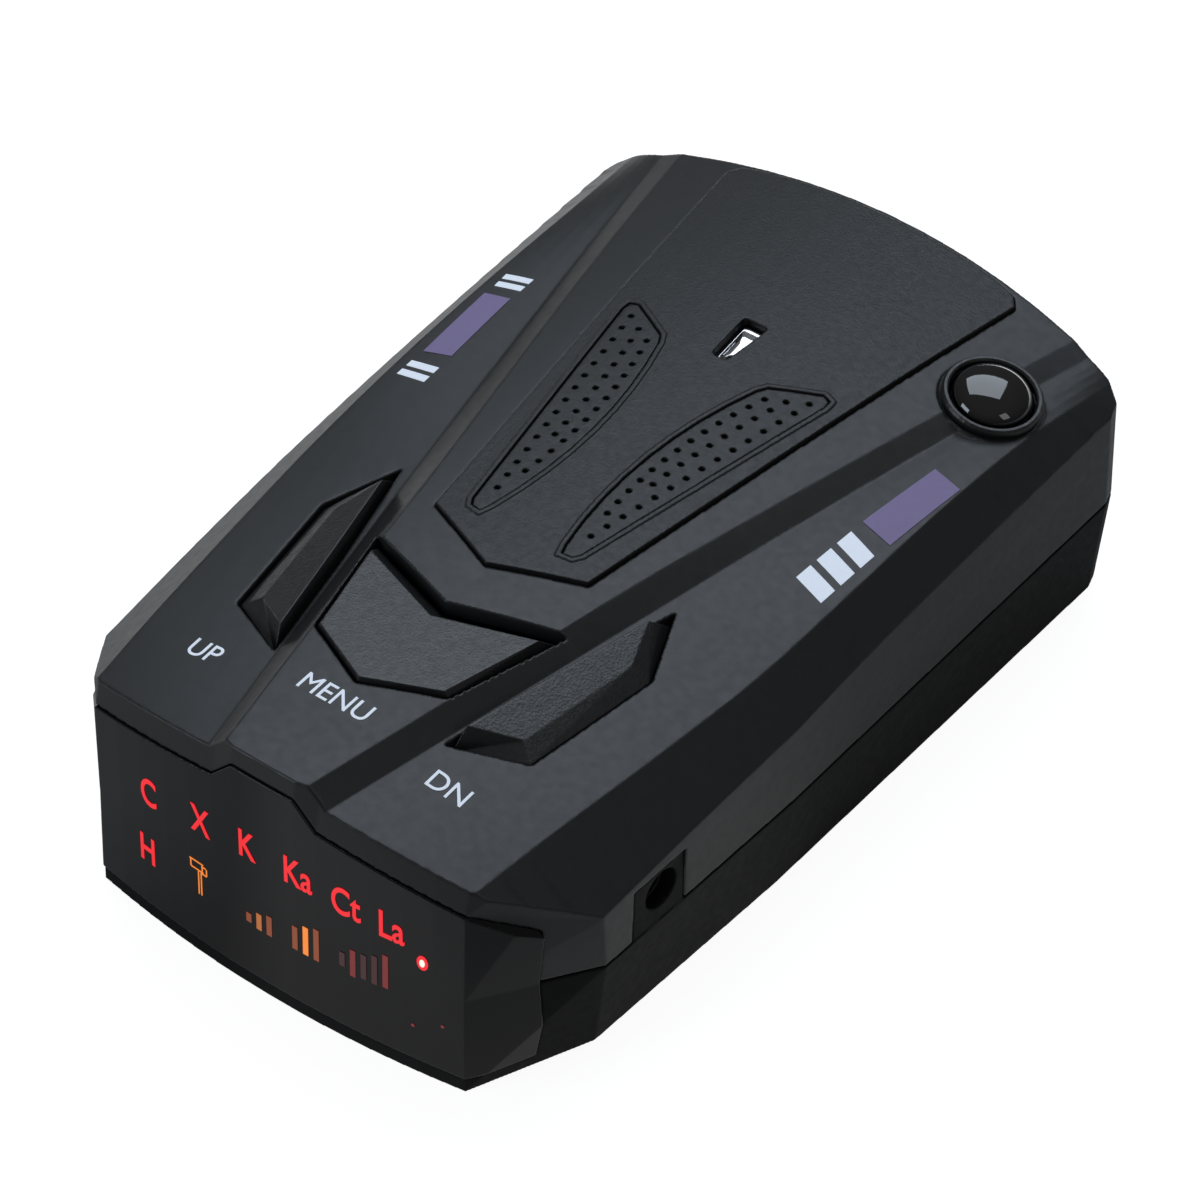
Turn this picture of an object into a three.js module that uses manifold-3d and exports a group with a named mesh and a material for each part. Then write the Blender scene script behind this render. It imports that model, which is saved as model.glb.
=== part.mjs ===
// Dashboard radar and laser detector, built as an assembly of separate pieces.
// Millimetres, +Z up, display toward -Y, DC inlet toward +X, base on z = 0.
import * as THREE from 'three';
import { mergeVertices } from 'three/addons/utils/BufferGeometryUtils.js';
import Module from 'manifold-3d';

// ---------------------------------------------------------------- driving dimensions
const GAP = 0.3;               // clearance between neighbouring pieces
const SEAM = 0.14;             // hairline round the textured panel and its pads
const WALL = 2.0;              // moulding thickness
const PARTING = 13.1;          // height of the joint between the two shells
const LIP = 1.8;               // thin edge of the tray below the display
const LENS_END = -45.6;        // where the display lens stops on the corner facets
const LENS_PROUD = 0.18;       // how far the lens stands out of the walls
const BOARD_Z = 12.4;          // underside of the main board
const BOARD_T = 1.6;
const BOARD_TOP = BOARD_Z + BOARD_T;
const KEYS_Z = 20.1;           // underside of the key board
const KEYS_T = 1.2;
const KEYS_TOP = KEYS_Z + KEYS_T;
const PANEL_RISE = 0.45;       // textured panel above the plateau
const PANEL_POCKET = 1.0;      // depth of its seat in the top shell
const JACK = { y: -31.2, z: 17.5, bore: 2.4, tab: [-35.5, -27.7] };
const DOME = { x: 25.2, y: 37.4, z: 30.3, tilt: 0.19, radius: 4.5, ring: 5.6 };
const CASE_SCREWS = [[24.8, -40.5], [-24.8, -40.5], [27.5, 45], [-27.5, 45]];
const BOARD_SCREWS = [[18, -29], [-18, -29], [0, 5]];
const KEY_SCREWS = [[0, -42], [0, -17]];

// Plan outline of the walls at three heights: half-widths and depths of its corners.
const LEVELS = [
  {
    z: 0, front: -54.4, lip: [24.1, -52.3], corner: [30.3, -39],
    side: [32.2, -10], hip: [33.7, 47], rear: 53.9,
  },
  {
    z: PARTING, front: -53.8, lip: [23.9, -51.7], corner: [32.3, -39.7],
    side: [33.9, -10], hip: [34.9, 47], rear: 54.4,
  },
  {
    z: 36, front: -53.0, lip: [24.0, -50.8], corner: [33.0, -41.8],
    side: [34.0, -10], hip: [34.2, 47], rear: 54.2,
  },
];
const BROW_RISE = 2.2;         // height of the brow above the lens
const BROW_LEAN = 0.55;        // how far the brow leans back over that height

// Cross-sections of the upper surface, front to rear: the section's place, the height of the
// plateau's middle, the plateau's half-width, then half-width and height of the foot of its
// slope, of the wing's crease and of the top of the side wall.
const SECTIONS = [
  [-60, 32.45, 4.2, 6.0, 30.1, 23.4, 27.4, 30.9, 20.7],
  [-52.7, 32.5, 5.2, 7.4, 30.2, 24.1, 27.6, 31.6, 20.9],
  [-40, 32.65, 7.7, 10.1, 30.3, 25.7, 28.2, 32.7, 21.2],
  [-25, 32.8, 10.6, 13.2, 30.3, 27.6, 28.3, 33.5, 22.4],
  [-10, 32.9, 13.4, 16.3, 30.3, 29.2, 28.5, 33.9, 23.6],
  [5, 32.9, 16.6, 19.4, 30.2, 29.9, 29.2, 34.2, 24.4],
  [20, 32.9, 19.9, 22.5, 29.9, 30.3, 29.5, 34.3, 25.0],
  [35, 32.75, 23.1, 25.6, 29.4, 30.9, 28.9, 34.4, 25.4],
  [50, 32.3, 26.2, 28.6, 28.6, 32.2, 27.3, 34.4, 25.8],
  [60, 32.0, 28.2, 30.4, 28.0, 33.0, 26.4, 34.4, 26.0],
];
const STEPS = 4;               // smooth sections drawn between each pair of these
const CROWN = 0.0039;          // how fast the plateau falls away from the centreline
const WING_CROWN = 0.15;       // how far a wing bulges above a straight line
const REACH = 45;              // sections run out past the walls to here

// Lower edge of the brow, which is also the upper edge of the display lens.
const BROW = [[0, 30.4], [4.0, 30.36], [6.7, 27.5], [23.9, 25.0], [28.5, 21.1], [36, 14.3]];

// Right-hand halves of openings and inserts, seen from above.
const KEY_OPENING = [[10.9, -38.3], [19.1, -34.6], [21.6, -18.0], [17.9, -9.1], [14.0, -24]];
const KEY_TOP = [[12.0, -35.9], [16.9, -33.0], [19.3, -18.5], [17.4, -13.0], [14.5, -25]];
const KEY_CREST = { z: 31.7, x: 12.0, y: -35.9, fallX: 0.345, fallY: -0.08 };
const MENU_OPENING = [[0, -38.6], [8.7, -34.6], [12.4, -20.0], [0, -24.2]];
const MENU_TOP = [[0, -38.0], [8.0, -34.4], [10.9, -22.8], [0, -26.6]];
const MENU_CREST = { z: 32.6, y: -23, fall: 0.028 };
const PANEL = [[0, -17.6], [9.9, -13.4], [19.3, 50.4]];
const PANEL_REAR = 53.4;
const WINDOW = [[1.0, 22.4], [1.6, 29.4]];

const wasm = await Module();
wasm.setup();

// ---------------------------------------------------------------- solids
function solid(geometry) {
  const bare = geometry.clone();
  bare.deleteAttribute('normal');
  bare.deleteAttribute('uv');
  const merged = mergeVertices(bare, 1e-4);
  return new wasm.Manifold(new wasm.Mesh({
    numProp: 3,
    vertProperties: Float32Array.from(merged.attributes.position.array),
    triVerts: Uint32Array.from(merged.index.array),
  }));
}

const cut = (body, ...tools) => tools.reduce((left, tool) => left.subtract(tool), body);
const join = (body, ...more) => more.reduce((whole, piece) => whole.add(piece), body);
const both = (a, b) => a.intersect(b);

function geometryOf(body) {
  const mesh = body.getMesh();
  const geometry = new THREE.BufferGeometry();
  geometry.setAttribute('position', new THREE.BufferAttribute(Float32Array.from(mesh.vertProperties), 3));
  geometry.setIndex(new THREE.BufferAttribute(Uint32Array.from(mesh.triVerts), 1));
  const flat = geometry.toNonIndexed();
  flat.computeVertexNormals();
  return flat;
}

// A closed skin through rings of equal length, capped at both ends by fans. The second half
// of each ring has its faces split the other way, so a symmetric outline gives a symmetric skin.
function loft(rings) {
  const size = rings[0].length;
  const middle = (ring) => [0, 1, 2].map((axis) => ring.reduce((sum, p) => sum + p[axis], 0) / size);
  const points = [...rings.flat(), middle(rings[0]), middle(rings[rings.length - 1])];
  const last = (rings.length - 1) * size;
  const hubs = [points.length - 2, points.length - 1];
  const faces = [];
  for (let i = 0; i < size; i += 1) {
    const j = (i + 1) % size;
    for (let base = 0; base < last; base += size) {
      const [a, b, c, d] = [base + i, base + j, base + j + size, base + i + size];
      faces.push(...(i < size / 2 ? [[a, b, c], [a, c, d]] : [[a, b, d], [b, c, d]]));
    }
    faces.push([hubs[0], j, i], [hubs[1], last + i, last + j]);
  }
  const corners = points.map((p) => new THREE.Vector3(...p));
  const wedge = ([i, j, k]) => corners[i].dot(corners[j].clone().cross(corners[k]));
  const volume = faces.reduce((sum, face) => sum + wedge(face), 0);
  const geometry = new THREE.BufferGeometry();
  geometry.setAttribute('position', new THREE.Float32BufferAttribute(points.flat(), 3));
  geometry.setIndex(faces.flatMap(([i, j, k]) => (volume > 0 ? [i, j, k] : [i, k, j])));
  return solid(geometry);
}

function prism(outline, z0, z1) {
  const shape = new THREE.Shape(outline.map(([x, y]) => new THREE.Vector2(x, y)));
  const geometry = new THREE.ExtrudeGeometry(shape, { depth: z1 - z0, bevelEnabled: false });
  return solid(geometry.translate(0, 0, z0));
}

function box(x0, x1, y0, y1, z0, z1) {
  const geometry = new THREE.BoxGeometry(x1 - x0, y1 - y0, z1 - z0);
  return solid(geometry.translate((x0 + x1) / 2, (y0 + y1) / 2, (z0 + z1) / 2));
}

function rod(x, y, z0, z1, radius, sides = 20) {
  const geometry = new THREE.CylinderGeometry(radius, radius, z1 - z0, sides);
  return solid(geometry.rotateX(Math.PI / 2).translate(x, y, (z0 + z1) / 2));
}

function rodX(x0, x1, y, z, radius, sides = 24) {
  const geometry = new THREE.CylinderGeometry(radius, radius, x1 - x0, sides);
  return solid(geometry.rotateZ(Math.PI / 2).translate((x0 + x1) / 2, y, z));
}

// A closed profile of radius and height pairs, listed counter-clockwise, spun about Z.
function turned(profile, sides = 32) {
  const points = profile.map(([r, z]) => new THREE.Vector2(r, z));
  return solid(new THREE.LatheGeometry(points, sides).rotateX(Math.PI / 2));
}

const mirrored = (body) => body.mirror([1, 0, 0]);

// Corners of an outline eased by short curves.
function eased(outline, radius, steps = 3) {
  const out = [];
  outline.forEach((corner, i) => {
    const here = new THREE.Vector2(...corner);
    const before = new THREE.Vector2(...outline[(i + outline.length - 1) % outline.length]).sub(here);
    const after = new THREE.Vector2(...outline[(i + 1) % outline.length]).sub(here);
    const start = here.clone().add(before.clone().setLength(Math.min(radius, before.length() * 0.4)));
    const end = here.clone().add(after.clone().setLength(Math.min(radius, after.length() * 0.4)));
    const curve = new THREE.QuadraticBezierCurve(start, here, end);
    curve.getPoints(steps).forEach((p) => out.push([p.x, p.y]));
  });
  return out;
}

// An outline moved outward (or inward when distance is negative).
function offset(outline, distance) {
  const size = outline.length;
  const area = outline.reduce((sum, [x, y], i) => {
    const [u, v] = outline[(i + 1) % size];
    return sum + x * v - u * y;
  }, 0);
  const turn = Math.sign(area);
  const edge = (i) => {
    const [x, y] = outline[(i + size) % size];
    const [u, v] = outline[(i + 1 + size) % size];
    return new THREE.Vector2((v - y) * turn, (x - u) * turn).normalize();
  };
  return outline.map(([x, y], i) => {
    const a = edge(i - 1);
    const b = edge(i);
    const mid = a.clone().add(b);
    const reach = distance * 2 / mid.lengthSq();
    return [x + mid.x * reach, y + mid.y * reach];
  });
}

// A half outline that starts and ends on the centreline, closed by its mirror image.
function whole(half) {
  const inner = half.slice().reverse().filter(([x]) => x > 1e-6);
  return [...half, ...inner.map(([x, ...rest]) => [-x, ...rest])];
}

// ---------------------------------------------------------------- outer form
const FRONT_X = [0, 4, 6.7, 10, 13.5, 17, 20.5];
const FRONT_POINTS = FRONT_X.length + 1;

// Corner values of the wall outline at height z, running on past the last level.
function levelAt(z) {
  const [low, high] = z < PARTING ? LEVELS.slice(0, 2) : LEVELS.slice(1);
  const f = (z - low.z) / (high.z - low.z);
  const mix = (a, b) => a + (b - a) * f;
  const at = { front: mix(low.front, high.front), rear: mix(low.rear, high.rear) };
  for (const key of ['lip', 'corner', 'side', 'hip']) {
    at[key] = [mix(low[key][0], high[key][0]), mix(low[key][1], high[key][1])];
  }
  return at;
}

// Right half of the wall outline at height z, moved inward by inset.
function plan(z, inset) {
  const { front, lip, corner, side, hip, rear } = levelAt(z);
  const lipX = lip[0] - 0.5 * inset;
  const half = [...FRONT_X, lipX].map((x) => [x, front + inset + (lip[1] - front) * (x / lipX) ** 2]);
  half.push([corner[0] - inset, corner[1] + 0.3 * inset]);
  half.push([side[0] - inset, side[1]]);
  half.push([hip[0] - inset, hip[1] - 0.4 * inset]);
  half.push([hip[0] - 0.6 - 0.9 * inset, hip[1] + 2.0 - 0.7 * inset]);
  const shoulder = hip[0] - 2.6 - 0.6 * inset;
  const sag = rear - hip[1] - 3.4;
  for (let i = 6; i >= 0; i -= 1) {
    half.push([shoulder * i / 6, rear - inset - sag * (i / 6) ** 2]);
  }
  return half;
}

function walls(inset, z0, z1) {
  const heights = z0 < PARTING && z1 > PARTING ? [z0, PARTING, z1] : [z0, z1];
  return loft(heights.map((z) => whole(plan(z, inset).map(([x, y]) => [x, y, z]))));
}

const wallBand = (outer, inner, z0, z1) => cut(walls(outer, z0, z1), walls(inner, z0 - 1, z1 + 1));

function browAt(x) {
  const i = Math.max(1, BROW.findIndex(([end]) => end >= x));
  const [x0, z0] = BROW[i - 1];
  const [x1, z1] = BROW[i];
  return z0 + (z1 - z0) * (x - x0) / (x1 - x0);
}

// Walls of the cover: upright to the brow line, then leaning back.
function coverWalls() {
  const ring = (z, rise) => plan(z, 0).map(([x, y], i) => {
    const onBrow = i < FRONT_POINTS && rise >= 0;
    if (!onBrow) return [x, y, z];
    const height = browAt(x) + rise;
    return [x, plan(browAt(x), 0)[i][1] + BROW_LEAN * rise / BROW_RISE, height];
  });
  const top = LEVELS[2].z;
  return loft([whole(ring(PARTING + GAP, -1)), whole(ring(21, 0)), whole(ring(top, 4 * BROW_RISE))]);
}

// The listed sections with smooth ones drawn between them.
function smoothSections() {
  const at = (i) => SECTIONS[THREE.MathUtils.clamp(i, 0, SECTIONS.length - 1)];
  const out = [];
  for (let i = 0; i + 1 < SECTIONS.length; i += 1) {
    for (let k = 0; k < STEPS; k += 1) {
      const t = k / STEPS;
      const [a, b, c, d] = [at(i - 1), at(i), at(i + 1), at(i + 2)];
      out.push(b.map((value, j) => value + 0.5 * t * (c[j] - a[j]
        + t * (2 * a[j] - 5 * value + 4 * c[j] - d[j] + t * (3 * (value - c[j]) + d[j] - a[j])))));
    }
  }
  return [...out, SECTIONS[SECTIONS.length - 1]];
}

// Everything below the upper surface, lowered by drop.
function underTop(drop) {
  const floor = -5;
  const inside = drop > PANEL_POCKET;
  const across = inside ? [0, 0.5, 1] : [0, 0.15, 0.3, 0.45, 0.6, 0.74, 0.87, 1];
  const wingward = inside ? [0.5] : [0.25, 0.5, 0.75];
  return loft(smoothSections().map(([y, crown, edge, footX, footZ, creaseX, creaseZ, wallX, wallZ]) => {
    const arch = (x) => [x, crown - CROWN * x * x];
    const fall = (wallZ - creaseZ) / (wallX - creaseX);
    const far = [REACH, creaseZ + fall * (REACH - creaseX)];
    const wing = wingward.map((t) => [
      footX + (creaseX - footX) * t, footZ + (creaseZ - footZ) * t + 4 * WING_CROWN * t * (1 - t)]);
    const top = [...across.map((share) => arch(edge * share)), [footX, footZ], ...wing];
    const half = [...top, [creaseX, creaseZ], far].map(([x, z]) => [x, y, z - drop]);
    return whole([...half, [REACH, y, floor]]);
  }));
}

// A patch of the upper surface bounded by an outline.
const patch = (outline, above, below) => cut(
  both(prism(outline, 15, 45), underTop(-above)),
  underTop(below),
);

// The block of space that the display lens takes up, cut off along the brow line.
function displayZone(grow) {
  const floor = LIP + GAP - grow;
  const half = [...BROW.map(([x, z]) => [x, z + grow - GAP]), [BROW[BROW.length - 1][0], floor]];
  const shape = new THREE.Shape(whole(half).map(([x, z]) => new THREE.Vector2(x, z)));
  const geometry = new THREE.ExtrudeGeometry(shape, { depth: 16, bevelEnabled: false });
  return solid(geometry.rotateX(Math.PI / 2).translate(0, LENS_END + grow, 0));
}

// Grille pad: a straight outer side, a bowed inner side and a short rear edge.
const PAD = { front: -10.6, rear: 20.4, bow: 0.0085, waist: 2.0, inner: 3.65 };
const padInner = (y) => PAD.inner + PAD.bow * (y - PAD.waist) ** 2;

function padOutline() {
  const steps = 8;
  const side = Array.from({ length: steps + 1 }, (_, i) => {
    const y = PAD.rear + (PAD.front - PAD.rear) * i / steps;
    return [padInner(y), y];
  });
  const outer = [[6.5, -11.6], [7.0, -10.8], [13.3, 23.2], [13.2, 24.2]];
  return [...outer, [12.3, 24.5], [7.2, 21.6], ...side, [5.4, -11.8]];
}

const panelOutline = whole([...PANEL, [18.2, PANEL_REAR - 1.6], ...[15, 10, 5, 0].map((x) => [
  x, PANEL_REAR - CROWN * x * x])]);
const windowOutline = eased([...WINDOW, ...WINDOW.slice().reverse().map(([x, y]) => [-x, y])], 0.6);
const keyOutline = eased(KEY_OPENING, 0.35);
const menuOutline = eased(whole(MENU_OPENING), 0.35);
const padShape = padOutline();

// The pad's outline drawn in toward its middle.
const PAD_MIDDLE = [7.6, 7];
const drawnIn = (across, along) => padShape.map(([x, y]) => [
  PAD_MIDDLE[0] + (x - PAD_MIDDLE[0]) * across,
  PAD_MIDDLE[1] + (y - PAD_MIDDLE[1]) * along,
]);

// Put a piece that was made upright at the origin onto the dome's tilted axis.
const onDomeAxis = (body) => body.rotate([0, THREE.MathUtils.radToDeg(DOME.tilt), 0])
  .translate([DOME.x, DOME.y, DOME.z]);

// ---------------------------------------------------------------- shells
function topShell() {
  const hollow = both(walls(WALL, PARTING - 1, 36), underTop(WALL));
  const skin = cut(both(coverWalls(), underTop(0)), hollow);
  const posts = CASE_SCREWS.map(([x, y]) => rod(x, y, BOARD_Z, 36, 2.8));
  const bosses = KEY_SCREWS.map(([x, y]) => rod(x, y, KEYS_TOP + GAP, 36, 2.2));
  const socket = onDomeAxis(rod(0, 0, -5.5, -GAP, DOME.ring + 0.3, 32));
  const inside = both(walls(WALL / 2, PARTING - 2, 36), underTop(WALL / 2));
  const fixings = [...posts, ...bosses].map((post) => both(post, inside));
  let shell = join(skin, ...fixings, both(socket, walls(0.2, 20, 36)));
  shell = cut(shell, wallBand(WALL / 2, 2 * WALL, PARTING - 2, PARTING + 2.3));
  shell = cut(shell, ...CASE_SCREWS.map(([x, y]) => rod(x, y, 10, 21, 1.4, 12)));
  shell = cut(shell, ...KEY_SCREWS.map(([x, y]) => rod(x, y, KEYS_TOP, KEYS_TOP + 6, 1.0, 12)));
  const keyHole = prism(keyOutline, 20, 40);
  shell = cut(shell, keyHole, mirrored(keyHole), prism(menuOutline, 20, 40));
  shell = cut(shell, patch(offset(panelOutline, SEAM), 8, PANEL_POCKET));
  const soundHole = patch(drawnIn(0.74, 0.92), 8, 8);
  shell = cut(shell, soundHole, mirrored(soundHole), prism(windowOutline, 26, 40));
  shell = cut(shell, onDomeAxis(rod(0, 0, -GAP, 6, DOME.ring + 0.3, 32)));
  shell = cut(shell, onDomeAxis(rod(0, 0, -4.2, 2, DOME.radius + GAP, 28)));
  shell = cut(shell, onDomeAxis(rod(0, 0, -8, 2, 3.4, 20)));
  shell = cut(shell, box(28, 40, JACK.tab[0] - SEAM, JACK.tab[1] + SEAM, 5, JACK.z + 3.1));
  shell = cut(shell, box(-15, 15, 45, 60, 16.5, 25));
  return cut(shell, both(wallBand(-2, WALL + GAP, -1, 36), displayZone(GAP)));
}

function bottomShell() {
  let shell = cut(walls(0, 0, PARTING), walls(WALL, WALL, PARTING + 5));
  const tongue = wallBand(WALL / 2 + GAP, WALL, PARTING - 1, PARTING + 2.0);
  const tab = both(wallBand(0.12, WALL, PARTING - 1, 30), box(28, 40, ...JACK.tab, 5, JACK.z + 2.9));
  const posts = CASE_SCREWS.map(([x, y]) => rod(x, y, 1, BOARD_Z - GAP - 0.1, 3.2));
  const bosses = BOARD_SCREWS.map(([x, y]) => rod(x, y, 1, BOARD_Z - GAP, 2.4));
  shell = join(shell, tongue, tab, ...posts, ...bosses);
  shell = cut(shell, ...CASE_SCREWS.map(([x, y]) => rod(x, y, -1, 20, 1.45, 12)));
  shell = cut(shell, ...CASE_SCREWS.map(([x, y]) => rod(x, y, -1, 2.6, 2.6)));
  shell = cut(shell, ...BOARD_SCREWS.map(([x, y]) => rod(x, y, 5, 20, 1.05, 12)));
  shell = cut(shell, rodX(25, 40, JACK.y, JACK.z, JACK.bore), box(-17, 17, -12, 12, -1, 0.6));
  return cut(shell, both(wallBand(-2, WALL + GAP, -1, 36), displayZone(GAP)));
}

// ---------------------------------------------------------------- outer pieces
const displayLens = () => both(wallBand(-LENS_PROUD, WALL, 0, 36), displayZone(GAP - SEAM));

const PAD_RIM = { width: 0.55, rise: 0.16 };

function topPanel() {
  const rim = patch(offset(padShape, SEAM + PAD_RIM.width), PANEL_RISE + PAD_RIM.rise, 0);
  const body = join(patch(panelOutline, PANEL_RISE, PANEL_POCKET - GAP), rim, mirrored(rim));
  const seat = prism(offset(padShape, SEAM), 20, 40);
  return cut(body, seat, mirrored(seat), prism(windowOutline, 20, 40));
}

// Three rows of small holes: along the straight side, along the bowed side, and between them.
function padHoles() {
  const outer = (y) => 7.6 + 0.187 * y;
  const inner = (y) => padInner(y) + 1.38;
  const between = (y) => 0.47 * outer(y) + 0.53 * inner(y);
  const row = (x, first, pitch, count) => Array.from({ length: count }, (_, i) => {
    const y = first + pitch * i;
    return [x(y), y];
  });
  return [...row(outer, -7.95, 2.18, 15), ...row(inner, -4.2, 2.02, 13), ...row(between, 2.2, 2.11, 10)];
}

function grillePad() {
  const body = patch(padShape, PANEL_RISE, PANEL_POCKET - GAP);
  return cut(body, ...padHoles().map(([x, y]) => rod(x, y, 25, 40, 0.36, 6)));
}

// A chromed dish below the window: its rings narrow and sink toward the middle.
function laserReflector() {
  const rim = offset(windowOutline, -GAP);
  const middle = (WINDOW[0][1] + WINDOW[1][1]) / 2;
  const ring = ([share, z]) => rim.map(([x, y]) => [x * share, middle + (y - middle) * share, z]);
  const dish = loft([[1, 29.5], [1, 32.3], [0.84, 32.25], [0.62, 31.9], [0.3, 31.7]].map(ring));
  return join(dish, box(-2.6, 2.6, 20.4, 30.4, 28.7, 30.3));
}

const domeRing = () => onDomeAxis(turned([
  [4.8, 0], [DOME.ring, 0], [DOME.ring, 0.5], [5.35, 0.85], [5.0, 0.85], [4.8, 0.6], [4.8, 0],
], 48));

function laserDome() {
  const arc = Array.from({ length: 8 }, (_, i) => {
    const angle = Math.PI / 2 * i / 7;
    return [DOME.radius * Math.sin(angle), 0.2 + 2.3 * Math.cos(angle)];
  });
  const under = [[0, 1.2], [2.4, 0.9], [3.9, -0.3], [3.9, -3.7], [DOME.radius, -3.7]];
  return onDomeAxis(turned([...under, ...arc.reverse(), under[0]], 48));
}

const rearLens = () => both(wallBand(0, WALL, PARTING + 1, 34), box(-14.7, 14.7, 45, 60, 16.8, 24.7));

// ---------------------------------------------------------------- buttons
const STEM_Z = 26.0;           // lower end of a button's stem
const KEY_SPOT = [16.3, -25.5];
const MENU_SPOT = [0, -30.5];

function keyCap() {
  const foot = offset(KEY_OPENING, -0.35);
  const ring = (z) => foot.map(([x, y]) => [x, y, z]);
  const crown = KEY_TOP.map(([x, y]) => [
    x, y, KEY_CREST.z - KEY_CREST.fallX * (x - KEY_CREST.x) - KEY_CREST.fallY * (y - KEY_CREST.y)]);
  const cap = loft([ring(26.6), ring(29.0), crown]);
  const flange = prism(offset(KEY_OPENING, 0.7), 26.1, 26.8);
  return join(cap, flange, rod(...KEY_SPOT, STEM_Z, 27, 1.6));
}

function menuCap() {
  const foot = whole(offset(whole(MENU_OPENING), -0.35).slice(0, MENU_OPENING.length));
  const heights = [32.4, 32.2, 30.6, 30.8];
  const at = (list, i) => list[i < list.length ? i : 2 * list.length - 2 - i];
  const rim = foot.map(([x, y], i) => [x, y, at(heights, i)]);
  const height = (y) => MENU_CREST.z - MENU_CREST.fall * (y - MENU_CREST.y);
  const crown = whole(MENU_TOP).map(([x, y]) => [x, y, height(y)]);
  const cap = loft([foot.map(([x, y]) => [x, y, 27.8]), rim, crown]);
  const flange = prism(offset(whole(MENU_OPENING), 0.7), 27.2, 28.0);
  return join(cap, flange, rod(...MENU_SPOT, STEM_Z, 27.5, 1.6));
}

function switchBody([x, y]) {
  const base = KEYS_TOP + GAP;
  const body = box(x - 3, x + 3, y - 3, y + 3, base, base + 3.4);
  return cut(body, rod(x, y, base + 0.7, base + 4, 1.9));
}

const switchPlunger = ([x, y]) => rod(x, y, KEYS_TOP + 1.9, STEM_Z - GAP, 1.6);

// ---------------------------------------------------------------- inside
const screw = (x, y, seat, tip, head, shank, rise) => join(
  rod(x, y, Math.min(seat, seat + rise), Math.max(seat, seat + rise), head, 16),
  rod(x, y, Math.min(seat, tip), Math.max(seat, tip), shank, 10),
);

function caseScrew([x, y]) {
  const body = screw(x, y, 2.3, 19, 2.2, 1.1, -1.7);
  const slot = box(x - 1.2, x + 1.2, y - 0.25, y + 0.25, 0, 1.3);
  const crossSlot = box(x - 0.25, x + 0.25, y - 1.2, y + 1.2, 0, 1.3);
  return cut(body, slot, crossSlot);
}

const boardScrew = ([x, y]) => screw(x, y, BOARD_TOP + 0.2, 6, 1.9, 0.85, 1.3);
const keyScrew = ([x, y]) => screw(x, y, KEYS_Z - 0.2, KEYS_TOP + 5, 1.8, 0.8, -1.2);

function mainBoard() {
  const half = [
    [20.8, -43.8], [20.8, -36.9], [29.4, -36.9], [30.9, 0], [31.2, 41], [23.9, 41], [23.9, 48], [0, 50],
  ];
  const holes = BOARD_SCREWS.map(([x, y]) => rod(x, y, 10, 20, 1.2, 12));
  return cut(prism(whole(half), BOARD_Z, BOARD_TOP), ...holes);
}

const keyBoard = () => cut(box(-19.6, 19.6, -44.3, -14.4, KEYS_Z, KEYS_TOP),
  ...KEY_SCREWS.map(([x, y]) => rod(x, y, 15, 30, 1.1, 12)));

// Display windows: centre x, centre z, width, height.
const CELLS = {
  c: [-16.0, 18.4, 4.4, 5.4],
  h: [-16.4, 10.2, 4.4, 5.4],
  x: [-8.5, 19.6, 4.4, 5.4],
  camera: [-8.8, 11.4, 4.4, 6.0],
  k: [-2.1, 20.2, 4.4, 5.4],
  ka: [4.4, 20.2, 4.8, 5.4],
  ct: [10.4, 19.4, 4.8, 5.4],
  la: [16.1, 19.4, 4.8, 5.4],
  bars_low: [-1.2, 11.0, 5.0, 4.6],
  bars_mid: [5.1, 11.6, 5.4, 5.0],
  bars_high: [12.4, 12.4, 6.4, 5.0],
  alert: [19.6, 14.6, 1.9, 2.4],
};
const MASK_Y = -49.2;

function displayMask() {
  const body = box(-21.4, 21.4, MASK_Y, MASK_Y + 2.7, 4, 24.4);
  return cut(body, ...Object.values(CELLS).map(([x, z, w, h]) => (
    box(x - w / 2, x + w / 2, MASK_Y - 1, MASK_Y + 5, z - h / 2, z + h / 2))));
}

const ledBlock = ([x, z, w, h]) => box(x - w / 2 + 0.6, x + w / 2 - 0.6, MASK_Y + 1.2, MASK_Y + 2.8,
  z - h / 2 + 0.8, z + h / 2 - 0.8);

const displayBoard = () => box(-21.4, 21.4, MASK_Y + 3.0, MASK_Y + 4.2, 3.4, 24.8);

function dcJack() {
  const front = 30.2;
  const body = box(21, front, JACK.y - 3.5, JACK.y + 3.5, BOARD_TOP + GAP, JACK.z + 3.2);
  const nose = rodX(front - 1, 31.2, JACK.y, JACK.z, JACK.bore - 0.2);
  const bore = rodX(24, 40, JACK.y, JACK.z, 1.75);
  return cut(join(body, nose), bore, rodX(22.6, 30, JACK.y, JACK.z, 0.95, 12));
}

const jackPin = () => rodX(22.9, 30.6, JACK.y, JACK.z, 0.65, 12);

const HORN = { x: [-23.6, -3.8], y: [12, 48.6], z: [BOARD_TOP + GAP, 26.2] };

function hornCasting() {
  const body = box(...HORN.x, ...HORN.y, ...HORN.z);
  const [x, z] = [(HORN.x[0] + HORN.x[1]) / 2, (HORN.z[0] + HORN.z[1]) / 2];
  const frame = (w, h, y) => [[x - w, y, z - h], [x + w, y, z - h], [x + w, y, z + h], [x - w, y, z + h]];
  const flare = loft([frame(3.5, 2.2, 24), frame(8.6, 4.8, HORN.y[1] + 1)]);
  const chamber = box(HORN.x[0] + 1.4, HORN.x[1] - 1.4, HORN.y[0] + 1.4, 22.5, HORN.z[0] + 2, 30);
  return cut(body, flare, chamber);
}

const mixerBoard = () => box(HORN.x[0] + 1, HORN.x[1] - 1, HORN.y[0], 26, HORN.z[1] + GAP, HORN.z[1] + 1.1);
const oscillatorCan = () => rod(-13.7, 18, 18, HORN.z[1], 3.4);

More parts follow.
